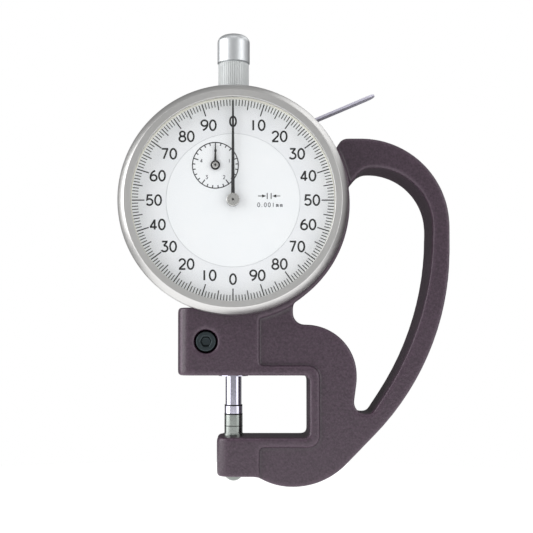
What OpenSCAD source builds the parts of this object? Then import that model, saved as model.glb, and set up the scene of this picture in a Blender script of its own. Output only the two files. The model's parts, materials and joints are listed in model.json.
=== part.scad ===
// Dial thickness gauge: a dial indicator clamped in a cast C-frame with a grip loop.
// X runs to the right, Y to the back and Z up. The origin is the centre of the
// fixed anvil's measuring face, on the axis of the spindle. Depths in this file are
// given forward of the spindle axis, so a positive depth lies towards the reader of the dial.

/* [Frame] */
// Thickness of the web and the grip
web_t = 14.4; // [10:0.1:18]
// Height of the raised block, border and jaw above the web, on each face
raise = 1; // [0.4:0.1:1.5]
// Depth of the measuring throat behind the spindle axis
throat_depth = 20.6; // [16:0.1:30]
// Height of the clamp block's underside above the anvil face
block_bottom = 13.9; // [11:0.1:20]
// Height of the clamp block
block_h = 18.4; // [15:0.1:24]
// Reach of the clamp block to the left of the spindle axis
block_reach = 15.1; // [13:0.1:20]
// Drop from the anvil face to the top of the jaw
jaw_drop = 2.8; // [2:0.1:4]
// Height of the jaw
jaw_h = 10.6; // [9:0.1:14]
// Reach of the jaw to the left of the spindle axis
jaw_reach = 4.5; // [3.8:0.1:8]
// Depth of the belly under the jaw
belly_drop = 2.8; // [1.5:0.1:5]
// Width of the web between the throat and the grip loop
web_w = 12.7; // [10:0.1:18]
// Width of the grip loop's opening
loop_w = 20.8; // [18:0.1:30]
// Width of the grip at its side
grip_w = 4.7; // [3.5:0.1:8]
// Width of the grip at its top
grip_top_w = 8; // [5:0.1:12]
// Height of the loop's top above the dial centre
loop_rise = 9.8; // [7:0.1:14]
// Width of the raised border round the throat
border_w = 2.6; // [1.5:0.1:4]
// Width of the cradle rim that follows the dial case
rim_w = 4.6; // [3:0.1:6]
// Rounding of the upright edges of the block and jaw
edge_r = 3.5; // [1:0.1:4]

/* [Dial case] */
// Diameter of the case body
case_d = 53; // [48:0.5:60]
// Wall of the case
case_wall = 1.6; // [1.2:0.1:2.5]
// Gap between the clamp block and the case
case_gap = 1.8; // [1:0.1:3]
// Depth of the case body behind the spindle axis
case_back = 6.8; // [5.4:0.1:9]
// Depth of the case's front edge
case_front = 12.2; // [12:0.1:14]
// Thickness of the back cover
cover_t = 1.4; // [1:0.1:2]
// Outer diameter of the bezel
bezel_d = 61; // [58:0.5:66]
// Depth of the bezel's crest
bezel_front = 17; // [16.6:0.1:19]
// Diameter of the window in the bezel
window_d = 53.8; // [50:0.1:54.2]
// Thickness of the crystal
crystal_t = 1; // [0.8:0.1:1.4]
// Diameter of the fixed inner dial
inner_dial_d = 35.4; // [30:0.2:40]

/* [Spindle] */
// Measuring travel of the spindle
travel = 1.1; // [0.8:0.1:1.4]
// Diameter of the spindle
spindle_d = 4.4; // [4:0.1:4.6]
// Diameter of the measuring faces
face_d = 5; // [4:0.1:6]
// Length of the contact tip
tip_l = 3.1; // [2:0.1:4]
// Length of the contact holder's collar
holder_l = 2.6; // [2:0.1:4]
// Diameter of the clamped stem
stem_d = 8; // [7.6:0.1:9]
// Diameter of the knurled sleeve on top of the case
sleeve_d = 8.6; // [8:0.1:10]
// Length of the knurled sleeve above the case
sleeve_l = 13.4; // [10:0.1:18]
// Diameter of the dust cap
cap_d = 9; // [8.4:0.1:11]
// Height of the dust cap
cap_h = 8; // [6:0.1:10]

/* [Lift lever] */
// Length of the lever outside its pivot
lever_l = 30.4; // [24:0.1:38]
// Thickness of the lever strip
lever_t = 0.6; // [0.5:0.1:1]
// Width of the lever strip
lever_w = 4.2; // [3:0.1:4.4]
// Slope of the lever at rest, in degrees
lever_slope = 23; // [18:1:26]

/* [Movement] */
// Module of the gear teeth
gear_m = 0.2; // [0.18:0.01:0.21]
// Thickness of the gears
gear_t = 0.6; // [0.4:0.1:0.8]
// Radius of the arbors
arbor_r = 0.5; // [0.35:0.05:0.6]
// Thickness of the movement plates
plate_t = 0.8; // [0.6:0.1:1]

/* [Fits] */
// Radial clearance of a running fit
run_gap = 0.03; // [0.02:0.01:0.06]
// Radial clearance of a pressed or screwed seat
seat_gap = 0.01; // [0.01:0.01:0.03]
// Free gap between pieces that pass each other
free_gap = 0.3; // [0.2:0.05:0.5]

/* [Hidden] */
$fn = 64;

// Heights along the spindle axis
block_top = block_bottom + block_h;
dial_z = block_top + case_gap + case_d / 2;
case_r = case_d / 2;
case_in = case_r - case_wall;
jaw_top = -jaw_drop;
jaw_bottom = jaw_top - jaw_h;
belly = jaw_bottom - belly_drop;
sleeve_top = dial_z + case_r + sleeve_l;

// Frame outline
web_f = web_t / 2;
raised_f = web_f + raise;
loop_left = throat_depth + web_w;
loop_right = loop_left + loop_w;
grip_right = loop_right + grip_w;
loop_top = dial_z + loop_rise;
grip_top = loop_top + grip_top_w;
cradle_r = case_r + 0.5;
rim_r = cradle_r + rim_w;
throat_r = 1.3;
corner_r = 0.8;
belly_start = jaw_reach + 1.7;
belly_end = throat_depth + 4;
sweep_z = block_bottom + 4.9;
loop_low = jaw_top + 6.4;
loop_waist = 0.2;
loop_foot = 4.2;
belly_run = 5.5;
belly_in_r = 18;
belly_out_r = 20.4;
grip_low_r = 72;
grip_high_r = 24;
loop_low_r = 80;
loop_high_r = 16.5;
loop_shoulder = 3.8;
loop_shoulder_r = 5;
loop_start = 4.8;
notch_x = 16.2;
notch_low = block_top - 4.6;
notch_r = 3.2;
rim_end_a = 57;
rim_end = [0, dial_z] + polar(rim_r, -rim_end_a);
notch_top = rim_end[1] - (rim_end[0] - notch_x) / tan(rim_end_a);
rim_lap = 0.3;
clamp_z = block_bottom + block_h / 2;
clamp_slit = 1.2;
panel_left = 7;
screw_r = 1.5;
screw_head_r = 2.75;
screw_head_h = 3;
counterbore_r = 3.2;
clamp_x = -(stem_d / 2 + counterbore_r + 0.2);
counterbore_depth = screw_head_h + free_gap;
anvil_shank_r = 2;
anvil_flange_r = face_d / 2 + 0.3;
anvil_flange_h = 0.6;
anvil_tip_h = 1.2;
dome_r = 2.65;
dome_h = 1.95;
dome_shank_r = 1;
dome_shank_h = 4;

// Depths of the dial case, forward of the spindle axis
lip_w = 0.53;
bezel_bore = window_d / 2 + lip_w;
flange_r = bezel_bore - run_gap;
flange_wall = 2.5;
flange_in = flange_r - flange_wall;
flange_back = raised_f + 0.6;
flange_step = 1.5 * sign(flange_in - case_in);
bezel_r = bezel_d / 2;
lip_back = bezel_front - 1.1;
crystal_back = lip_back - crystal_t;
scale_t = 0.7;
dial_front = crystal_back - 1.8;
dial_back = dial_front - scale_t;
snap_f = flange_back + 1.3;
snap_t = 0.6;
snap_in = flange_r - 0.5;
snap_out = flange_r + 0.5;
snap_gap = 0.15;
ledge_in = case_in - 2.4;
ledge_front = 3.8;
ledge_back = 2.8;
boss_in = case_in - 1.3;
boss_back = -case_back + 1.2;
cover_f = -case_back;
cover_screw_a = 25;
cover_screw_at = case_in - 1.2;
cover_screw_r = 0.8;
cover_head_r = 1.5;
cover_head_h = 0.8;
cover_thread = 2.6;
cover_boss_r = 2;
cover_boss_f = -2.6;

// Movement plates and pillars
rear_front = ledge_front + plate_t;
rear_back = ledge_front;
dial_gap = 2.6;
front_back = dial_back - dial_gap;
front_front = front_back + plate_t;
front_plate_r = inner_dial_d / 2;
rear_plate_r = boss_in - free_gap;
pillar_n = 3;
pillar_a = 40;
pillar_inset = 2.2;
pillar_at = front_plate_r - pillar_inset;
pillar_r = 1.4;
pillar_thread = 2;
pillar_screw_r = 0.6;
pillar_head_r = 1.2;
pillar_head_h = 0.6;
plate_screw_a = 0;
plate_screw_at = case_in - 1.8;
dial_foot_r = 1;
dial_foot_a = 70;
jewel_r = 1.1;

// Gear train: teeth, and arbor places from the dial centre
rack_pitch = 0.625;
rack_teeth = 16;
rack_r = rack_teeth * rack_pitch / (2 * PI);
sector_teeth = 100;
small_teeth = 10;
second_teeth = 50;
counter_teeth = 30;
mesh_1 = gear_m * (sector_teeth + small_teeth) / 2;
mesh_2 = gear_m * (second_teeth + small_teeth) / 2;
mesh_3 = gear_m * counter_teeth;
rack_line = 1.6;
centre_at = [0, 0];
counter_at = [-4.68, 9.28];
second_at = meet(centre_at, mesh_2, counter_at, mesh_3);
rack_x = rack_line + rack_r;
rack_at = [rack_x, second_at[1] - sqrt(pow(mesh_1, 2) - pow(rack_x - second_at[0], 2))];
take_up_a = 215;
take_up_at = [mesh_2 * cos(take_up_a), mesh_2 * sin(take_up_a)];
arbor_places = [centre_at, counter_at, second_at, rack_at, take_up_at];
gear_bore = (arbor_r + seat_gap) / cos(15);
sector_f = 2.9;
wheel_f = rear_front + 1.2;
counter_f = wheel_f + gear_t + 0.6;
rack_half_w = 1.1;
rack_below = 3.6;
rack_above = 2.4;

// Gear phases, so that teeth stand in gaps at rest
phase_rack = 180;
angle_1 = bearing(rack_at, second_at);
phase_sector = angle_1;
phase_second_pinion = mesh_phase(phase_sector, sector_teeth, small_teeth, angle_1);
angle_2 = bearing(second_at, centre_at);
phase_second_wheel = angle_2;
phase_centre = mesh_phase(phase_second_wheel, second_teeth, small_teeth, angle_2);
angle_3 = bearing(second_at, counter_at);
phase_counter_drive = angle_3;
phase_counter = mesh_phase(phase_counter_drive, counter_teeth, counter_teeth, angle_3);
phase_take_up = mesh_phase(phase_centre, small_teeth, second_teeth, take_up_a);

// Hands
hand_t = 0.25;
hand_l = 26.2;
hand_root_w = 1;
hand_tip_w = 0.45;
hub_r = 1.7;
hub_f = dial_front + 0.4;
hand_f = dial_front + 1.15;
hub_front = hand_f + hand_t + 0.1;
small_hand_l = 5.6;
small_hub_r = 1.27;
small_hand_f = dial_front + 0.35;

// Spindle pieces
holder_top = tip_l + holder_l;
holder_r = face_d / 2 - 0.05;
holder_shank_r = 1.25;
holder_shank_l = 4;
spindle_r = spindle_d / 2;
spindle_top = sleeve_top + 4.2;
stem_r = stem_d / 2;
stem_bore = stem_r - 1;
stem_low = block_bottom - 0.3;
stem_high = dial_z - boss_in;
bush_l = 8;
sleeve_shank_r = 3;
sleeve_neck_r = 3.4;
sleeve_neck_h = 3.4;
cap_wall = 1.2;
pivot_in = 5;
lever_wall = [case_r * cos(53.2), case_r * sin(53.2)];
lever_dir = [cos(lever_slope), sin(lever_slope)];
pivot_at = lever_wall - pivot_in * lever_dir;
lever_pin_r = 0.8;
lever_hub_r = 1.4;
lever_f = lever_w / 2 - 0.2;
collar_r = 3.3;
collar_h = 2;
collar_bore = spindle_r + seat_gap;
finger_x = 2.9;
finger_l = (pivot_at[0] - finger_x) / cos(lever_slope);
collar_low = pivot_at[1] - (pivot_at[0] - collar_r) * tan(lever_slope)
    + lever_t / 2 / cos(lever_slope) + 0.17;
collar_z = dial_z + collar_low;
ear_t = 0.6;
ear_r = 1.7;
ear_front = ledge_back;
ear_rear = lever_f - lever_w - 0.3;
guide_rise = 5.6;
guide_z = dial_z - boss_in + guide_rise;
guide_pin_r = 0.8;
guide_pin_back = -5;
post_front = -3.2;
post_t = 1.2;
post_w = 6;
post_top = guide_z + 5;
spring_wire_r = 0.22;
spring_r = spindle_r + 0.55;
spring_turns = 3;
spring_low = collar_z + collar_h + spring_wire_r;
spring_high = dial_z + boss_in - spring_wire_r;
hair_turns = 4;
hair_in = arbor_r + 0.35;
hair_pitch = 0.75;
hair_w = 0.12;
hair_h = 0.5;
hair_f = wheel_f + gear_t + 0.5;
hair_end = hair_in + hair_turns * hair_pitch;

// Point that lies at given distances from two places, to the right of the line between them
function meet(a, ra, b, rb) =
    let (d = norm(b - a), u = (b - a) / d, s = (ra * ra - rb * rb + d * d) / (2 * d),
         h = sqrt(max(0, ra * ra - s * s)))
    a + s * u + h * [u[1], -u[0]];

// Direction from one place to another, in degrees
function bearing(a, b) = atan2(b[1] - a[1], b[0] - a[0]);

// Phase of a wheel whose teeth stand in the gaps of its neighbour
function mesh_phase(phase, n1, n2, angle) = angle + 180 - ((phase - angle) * n1 + 180) / n2;

// Point in polar form
function polar(r, a) = [r * cos(a), r * sin(a)];

// Six points of one tooth, thinned for backlash
function tooth(n, a) =
    let (p = 360 / n, r = gear_m * n / 2, root = r - 1.25 * gear_m, tip = r + 0.9 * gear_m)
    [polar(root, a - 0.27 * p), polar(r, a - 0.2 * p), polar(tip, a - 0.1 * p),
     polar(tip, a + 0.1 * p), polar(r, a + 0.2 * p), polar(root, a + 0.27 * p)];

// Outline of a toothed wheel
function wheel_outline(n, phase) = [for (k = [0:n - 1]) each tooth(n, phase + k * 360 / n)];

// Corner of an outline replaced by an arc of radius r that touches both sides
function fillet(before, at, after, r) =
    let (u = (before - at) / norm(before - at), v = (after - at) / norm(after - at),
         half = acos(u * v) / 2, t = r / tan(half), mid = (u + v) / norm(u + v),
         centre = at + mid * r / sin(half), a0 = bearing(centre, at + t * u),
         turn = (bearing(centre, at + t * v) - a0 + 540) % 360 - 180,
         n = max(2, ceil(abs(turn) / 3)))
    [for (k = [0:n]) centre + polar(r, a0 + turn * k / n)];

// Length that a corner's arc takes up on each of its two sides
function arc_reach(before, at, after, r) =
    let (u = (before - at) / norm(before - at), v = (after - at) / norm(after - at))
    r / tan(acos(u * v) / 2);

// Outline with rounded corners, from a list of [x, z, radius]; arcs too long for a side shrink to fit it
function rounded(c) =
    let (n = len(c), p = [for (q = c) [q[0], q[1]]],
         reach = [for (k = [0:n - 1]) arc_reach(p[(k + n - 1) % n], p[k], p[(k + 1) % n], c[k][2])],
         room = [for (k = [0:n - 1])
             let (next = (k + 1) % n, wanted = max(0.001, reach[k] + reach[next]))
             min(1, 0.98 * norm(p[next] - p[k]) / wanted)])
    [for (k = [0:n - 1])
        let (last = (k + n - 1) % n, r = c[k][2] * min(room[last], room[k]))
        each (r == 0 ? [p[k]] : fillet(p[last], p[k], p[(k + 1) % n], r))];

// Places a shape drawn in the X-Z plane, with its own third axis pointing forward
module facing(at = [0, 0], f = 0) {
    translate([at[0], -f, at[1]]) rotate([90, 0, 0]) children();
}

// The same, measured from the dial centre
module on_dial(at = [0, 0], f = 0) {
    facing([at[0], dial_z + at[1]], f) children();
}

// Upright round rod on the spindle axis
module upright(r, low, high) {
    translate([0, 0, low]) cylinder(r = r, h = high - low);
}

// Upright tube on the spindle axis
module upright_tube(r, bore, low, high) {
    difference() {
        upright(r, low, high);
        upright(bore, low - 1, high + 1);
    }
}

// Toothed wheel with its bore
module toothed_wheel(n, phase, thickness, windows = 0) {
    r = gear_m * n / 2;
    linear_extrude(thickness) difference() {
        polygon(wheel_outline(n, phase));
        circle(gear_bore, $fn = 12);
        if (windows > 0)
            for (k = [0:windows - 1]) rotate(k * 360 / windows)
                polygon([polar(0.38 * r, 35), polar(0.74 * r, 16), polar(0.74 * r, 54)]);
    }
}

// Strip that is cut away to round an upright edge at x, on the back (side 1) or the front (side -1)
module edge_cut(x, low, high, side) {
    steps = 8;
    centre = [x + edge_r, raised_f - edge_r];
    arc = [for (k = [0:steps]) centre + polar(edge_r, 90 + 90 * k / steps)];
    outside = [[x - 1, raised_f - edge_r], [x - 1, raised_f + 1], [x + edge_r, raised_f + 1]];
    translate([0, 0, low - 1]) linear_extrude(high - low + 2)
        polygon([for (q = concat(arc, outside)) [q[0], side * q[1]]]);
}

// Outer outline of the frame, with the cradle left open for the case
module frame_outline() {
    difference() {
        polygon(rounded([
            [-block_reach, block_bottom, corner_r], [throat_depth, block_bottom, throat_r],
            [throat_depth, jaw_top, throat_r], [-jaw_reach, jaw_top, corner_r],
            [-jaw_reach, jaw_bottom, corner_r], [belly_start, jaw_bottom, 2],
            [belly_start + belly_run, belly, belly_in_r], [belly_end, belly, belly_out_r],
            [grip_right, sweep_z, grip_low_r], [grip_right, grip_top, grip_high_r],
            [rim_r - 2, grip_top, 2.6], [cradle_r - 2.6, dial_z + 9.4, 0],
            [0, dial_z, 0], [-2, block_top, 0], [-block_reach, block_top, corner_r]]));
        translate([0, dial_z]) circle(cradle_r, $fn = 128);
    }
}

// Opening of the grip loop
module loop_outline() {
    difference() {
        polygon(rounded([
            [notch_x, notch_low, notch_r], [loop_left, notch_low, 14],
            [loop_left + loop_waist, loop_low + 9, 8], [loop_left - 1, loop_low, 3],
            [loop_left + loop_foot, loop_low, 1.8], [loop_right, block_top - 3.4, loop_low_r],
            [loop_right, loop_top, loop_high_r], [rim_r + loop_shoulder, loop_top, loop_shoulder_r],
            [rim_r - 0.2, dial_z + loop_start, 2],
            [rim_r / 2, dial_z, 0], [rim_end[0], rim_end[1], 0], [notch_x, notch_top, notch_r]]));
        translate([0, dial_z]) circle(rim_r, $fn = 128);
    }
}

// Area outside the raised block, border, jaw and cradle rim
module sunk_outline() {
    border_right = throat_depth + border_w;
    border_low = jaw_top - border_w;
    border_high = block_bottom + border_w;
    far = 200;
    difference() {
        square(2 * far, center = true);
        polygon(rounded([
            [-far / 2, block_bottom - 1, 0], [throat_depth - 1, block_bottom - 1, 0],
            [throat_depth - 1, jaw_top + 1, 0], [-far / 2, jaw_top + 1, 0],
            [-far / 2, belly - 1, 0], [panel_left, belly - 1, 0],
            [panel_left, border_low, 1], [border_right, border_low, 3],
            [border_right, border_high, 3], [panel_left, border_high, 1],
            [panel_left, dial_z, 0], [-far / 2, dial_z, 0]]));
        translate([0, dial_z]) circle(rim_r + rim_lap, $fn = 128);
    }
}

module frame() {
    color("#4c3f46") difference() {
        facing(f = -raised_f) linear_extrude(2 * raised_f) difference() {
            frame_outline();
            loop_outline();
        }
        for (f = [web_f, -raised_f - 1]) facing(f = f) linear_extrude(raise + 1) sunk_outline();
        for (side = [-1, 1]) {
            edge_cut(-block_reach, block_bottom, block_top, side);
            edge_cut(-jaw_reach, jaw_bottom, jaw_top, side);
        }
        upright(stem_r + seat_gap, block_bottom - 1, block_top + case_gap + 1);
        translate([-block_reach - 1, -clamp_slit / 2, block_bottom - 1])
            cube([block_reach + 1, clamp_slit, block_h + 4]);
        facing([clamp_x, clamp_z], -raised_f - 1) cylinder(r = screw_r + seat_gap, h = 2 * raised_f + 2);
        facing([clamp_x, clamp_z], raised_f - counterbore_depth)
            cylinder(r = counterbore_r, h = counterbore_depth + 1);
        upright(anvil_shank_r + seat_gap, jaw_bottom - 1, jaw_top + 1);
    }
}

module anvil() {
    color("silver") difference() {
        union() {
            upright(anvil_shank_r, jaw_bottom, jaw_top + 0.1);
            upright(anvil_flange_r, jaw_top, jaw_top + anvil_flange_h);
            upright(face_d / 2, jaw_top, -anvil_tip_h);
        }
        upright(dome_shank_r + seat_gap, jaw_bottom - 1, jaw_bottom + dome_shank_h + free_gap);
    }
}

module anvil_tip() {
    color("lightgray") upright(face_d / 2, -anvil_tip_h, 0);
}

module anvil_screw() {
    dome_cap_r = (dome_r * dome_r + dome_h * dome_h) / (2 * dome_h);
    color("silver") union() {
        translate([0, 0, jaw_bottom]) mirror([0, 0, 1]) intersection() {
            translate([0, 0, dome_h - dome_cap_r]) sphere(r = dome_cap_r);
            cylinder(r = dome_r, h = dome_h + 1);
        }
        upright(dome_shank_r, jaw_bottom - 0.5, jaw_bottom + dome_shank_h);
    }
}

module clamp_screw() {
    seat_f = raised_f - counterbore_depth;
    socket = 2.5;
    socket_depth = 1.6;
    color("silver") difference() {
        union() {
            facing([clamp_x, clamp_z], seat_f) cylinder(r = screw_head_r, h = screw_head_h);
            facing([clamp_x, clamp_z], -raised_f + 1.2) cylinder(r = screw_r, h = seat_f + raised_f - 1.1);
        }
        facing([clamp_x, clamp_z], seat_f + screw_head_h - socket_depth)
            cylinder(r = socket / 2 / cos(30), h = socket_depth + 1, $fn = 6);
    }
}

module case() {
    slot_h = lever_t + 1.5;
    front_wall = abs(flange_in - case_in) < 0.01 ? []
        : [for (r = [flange_in, case_in]) [r, flange_back + flange_step]];
    color("silver") difference() {
        union() {
            on_dial() rotate_extrude($fn = 128) polygon([
                [case_in, -case_back], [case_r, -case_back], [case_r, flange_back],
                [flange_r, flange_back], [flange_r, snap_f - snap_t / 2 - snap_gap],
                [snap_in - snap_gap, snap_f - snap_t / 2 - snap_gap],
                [snap_in - snap_gap, snap_f + snap_t / 2 + snap_gap],
                [flange_r, snap_f + snap_t / 2 + snap_gap], [flange_r, case_front],
                [flange_in, case_front], each front_wall, [case_in, ledge_front], [ledge_in, ledge_front],
                [ledge_in, ledge_back], [case_in, ledge_back]]);
            on_dial(f = boss_back) linear_extrude(ledge_back - boss_back) intersection() {
                circle(case_in + 0.5, $fn = 128);
                union() {
                    translate([-6, -case_r]) square([12, case_r - boss_in]);
                    translate([-6, boss_in]) square([12, case_r - boss_in]);
                }
            }
            for (k = [0, 1], s = [-1, 1])
                on_dial(f = -case_back) rotate(k * 180 + s * cover_screw_a) intersection() {
                    translate([cover_screw_at, 0]) cylinder(r = cover_boss_r, h = case_back + cover_boss_f);
                    cylinder(r = case_in + 0.5, h = case_back, $fn = 128);
                }
            for (f = [ear_front - ear_t, ear_rear - ear_t])
                on_dial(f = f) linear_extrude(ear_t) intersection() {
                    circle(case_in + 0.5, $fn = 128);
                    union() {
                        translate(pivot_at) circle(ear_r);
                        rotate(bearing([0, 0], pivot_at)) translate([norm(pivot_at), -ear_r])
                            square([4, 2 * ear_r]);
                    }
                }
        }
        upright(stem_r + seat_gap, dial_z - case_r - 1, dial_z - boss_in + 1);
        upright(sleeve_shank_r + seat_gap, dial_z + boss_in - 1, dial_z + case_r + 1);
        on_dial(pivot_at, -8) cylinder(r = lever_pin_r + seat_gap, h = 12);
        on_dial(lever_wall, lever_f - lever_w - free_gap) rotate(lever_slope)
            linear_extrude(lever_w + 2 * free_gap)
            translate([-2.6, -slot_h / 2 - 0.3]) square([5, slot_h]);
        for (k = [0, 1], s = [-1, 1])
            on_dial(f = -case_back - 1) rotate(k * 180 + s * cover_screw_a) translate([cover_screw_at, 0])
                cylinder(r = cover_screw_r + seat_gap, h = 4);
        for (k = [0:pillar_n - 1])
            on_dial(f = ledge_back - 1) rotate(plate_screw_a + k * 360 / pillar_n)
                translate([plate_screw_at, 0]) cylinder(r = pillar_screw_r + seat_gap, h = 3);
    }
}

module stem() {
    color("gainsboro") difference() {
        upright(stem_r, stem_low, stem_high);
        upright(stem_bore, stem_low - 1, stem_high + 1);
        translate([0, 0, stem_low]) rotate_extrude() polygon([[stem_r - 0.4, -1], [stem_r + 1, -1],
            [stem_r + 1, 0.6], [stem_r - 0.4, -0.8]]);
    }
}

module stem_bushes() {
    color("goldenrod") for (low = [stem_low + 0.4, stem_high - bush_l - 0.4])
        upright_tube(stem_bore - seat_gap, spindle_r + run_gap, low, low + bush_l);
}

module upper_sleeve() {
    low = dial_z + boss_in;
    seat = dial_z + case_r;
    color("silver") difference() {
        union() {
            upright(sleeve_shank_r, low, seat + 0.5);
            upright(sleeve_d / 2, seat, sleeve_top);
            upright(sleeve_neck_r, sleeve_top - 0.5, sleeve_top + sleeve_neck_h);
        }
        upright(spindle_r + run_gap, low - 1, sleeve_top + sleeve_neck_h + 1);
    }
}

module dust_cap() {
    dome_flat = 1.9;
    dome_drop = 2.1;
    r = cap_d / 2;
    dome = [for (a = [0:10:90]) [dome_flat + (r - dome_flat) * cos(a), cap_h - dome_drop * (1 - sin(a))]];
    neck = sleeve_neck_r + seat_gap;
    neck_top = sleeve_neck_h + free_gap;
    color("gainsboro") translate([0, 0, sleeve_top]) rotate_extrude() polygon([
        [neck, 0], [r - 0.2, 0], [r, 0.2], each dome, [0, cap_h], [0, cap_h - cap_wall],
        [spindle_r + 0.4, cap_h - cap_wall], [spindle_r + 0.4, neck_top], [neck, neck_top]]);
}

module back_cover() {
    color("silver") difference() {
        on_dial(f = cover_f - cover_t) cylinder(r = case_r, h = cover_t, $fn = 128);
        for (k = [0, 1], s = [-1, 1])
            on_dial(f = cover_f - cover_t - 1) rotate(k * 180 + s * cover_screw_a)
                translate([cover_screw_at, 0]) {
                    cylinder(r = cover_screw_r + seat_gap, h = cover_t + 2);
                    cylinder(r = cover_head_r + seat_gap, h = cover_head_h + 1);
                }
    }
}

module cover_screws() {
    slot_w = 0.4;
    slot_depth = 0.3;
    color("dimgray") for (k = [0, 1], s = [-1, 1])
        on_dial(f = cover_f - cover_t) rotate(k * 180 + s * cover_screw_a) translate([cover_screw_at, 0])
            difference() {
                union() {
                    cylinder(r = cover_head_r, h = cover_head_h);
                    cylinder(r = cover_screw_r, h = cover_t + cover_thread);
                }
                translate([-cover_head_r - 1, -slot_w / 2, -1])
                    cube([2 * cover_head_r + 2, slot_w, 1 + slot_depth]);
            }
}

module bezel() {
    window_r = window_d / 2;
    crest_r = bezel_r - 2.1;
    color("silver") on_dial() rotate_extrude($fn = 180) polygon([
        [bezel_bore, flange_back + 0.2], [bezel_r - 0.4, flange_back + 0.2], [bezel_r, flange_back + 0.6],
        [bezel_r, bezel_front - 2.4], [bezel_r - 0.3, bezel_front - 1.7], [bezel_r - 1, bezel_front - 0.85],
        [crest_r, bezel_front], [window_r, bezel_front - 0.1], [window_r, lip_back],
        [bezel_bore, lip_back], [bezel_bore, snap_f + snap_t / 2 + snap_gap],
        [snap_out + snap_gap, snap_f + snap_t / 2 + snap_gap],
        [snap_out + snap_gap, snap_f - snap_t / 2 - snap_gap],
        [bezel_bore, snap_f - snap_t / 2 - snap_gap]]);
}

module crystal() {
    color("azure", 0.3) on_dial(f = crystal_back)
        cylinder(r = bezel_bore - seat_gap, h = crystal_t, $fn = 128);
}

module spacer_ring() {
    color("wheat") on_dial(f = dial_front) linear_extrude(crystal_back - dial_front) difference() {
        circle(bezel_bore - seat_gap, $fn = 128);
        circle(window_d / 2, $fn = 128);
    }
}

module scale_ring() {
    color("white") on_dial(f = dial_back) linear_extrude(scale_t) difference() {
        circle(bezel_bore - seat_gap, $fn = 128);
        circle(inner_dial_d / 2 + 0.15, $fn = 128);
    }
}

module snap_ring() {
    color("dimgray") on_dial(f = snap_f - snap_t / 2) linear_extrude(snap_t) difference() {
        circle(snap_out, $fn = 128);
        circle(snap_in, $fn = 128);
        polygon([[0, 0], polar(2 * snap_out, 195), polar(2 * snap_out, 215)]);
    }
}

module inner_dial() {
    color("white") difference() {
        union() {
            on_dial(f = dial_back) cylinder(r = inner_dial_d / 2, h = scale_t, $fn = 128);
            for (k = [0:pillar_n - 1])
                on_dial(f = front_front) rotate(dial_foot_a + k * 360 / pillar_n)
                    translate([pillar_at, 0]) cylinder(r = dial_foot_r, h = dial_back - front_front + 0.1);
        }
        on_dial(centre_at, dial_back - 1) cylinder(r = arbor_r + 0.4, h = scale_t + 2);
        on_dial(counter_at, dial_back - 1) cylinder(r = arbor_r + 0.4, h = scale_t + 2);
    }
}

// Holes for the jewels of all arbors
module jewel_holes(f, r) {
    for (at = arbor_places)
        on_dial(at, f) cylinder(r = r, h = plate_t + 2);
}

module front_plate() {
    color("goldenrod") difference() {
        on_dial(f = front_back) cylinder(r = front_plate_r, h = plate_t, $fn = 128);
        jewel_holes(front_back - 1, jewel_r + seat_gap);
        for (k = [0:pillar_n - 1])
            on_dial(f = front_back - 1) rotate(pillar_a + k * 360 / pillar_n) translate([pillar_at, 0])
                cylinder(r = pillar_screw_r + seat_gap, h = plate_t + 2);
    }
}

module rear_plate() {
    color("goldenrod") difference() {
        on_dial(f = rear_back) cylinder(r = rear_plate_r, h = plate_t, $fn = 128);
        jewel_holes(rear_back - 1, jewel_r + seat_gap);
        for (k = [0:pillar_n - 1])
            on_dial(f = rear_back - 1) rotate(plate_screw_a + k * 360 / pillar_n)
                translate([plate_screw_at, 0]) cylinder(r = pillar_screw_r + seat_gap, h = plate_t + 2);
    }
}

module pillars() {
    color("gold") for (k = [0:pillar_n - 1])
        on_dial(f = rear_front) rotate(pillar_a + k * 360 / pillar_n) translate([pillar_at, 0]) difference() {
            cylinder(r = pillar_r, h = front_back - rear_front);
            translate([0, 0, front_back - rear_front - pillar_thread - free_gap])
                cylinder(r = pillar_screw_r + seat_gap, h = pillar_thread + 1);
        }
}

module pillar_screws() {
    color("silver") for (k = [0:pillar_n - 1])
        on_dial(f = front_front) rotate(pillar_a + k * 360 / pillar_n) translate([pillar_at, 0]) {
            cylinder(r = pillar_head_r, h = pillar_head_h);
            translate([0, 0, -plate_t - pillar_thread])
                cylinder(r = pillar_screw_r, h = plate_t + pillar_thread + 0.1);
        }
}

module plate_screws() {
    color("silver") for (k = [0:pillar_n - 1])
        on_dial(f = rear_front) rotate(plate_screw_a + k * 360 / pillar_n) translate([plate_screw_at, 0]) {
            cylinder(r = pillar_head_r, h = pillar_head_h);
            translate([0, 0, -plate_t - 0.9]) cylinder(r = pillar_screw_r, h = plate_t + 1);
        }
}

module jewel_bearings() {
    color("crimson") for (at = arbor_places, f = [front_back, rear_back])
        on_dial(at, f) difference() {
            cylinder(r = jewel_r, h = plate_t);
            translate([0, 0, -1]) cylinder(r = arbor_r + run_gap, h = plate_t + 2);
        }
}

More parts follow.
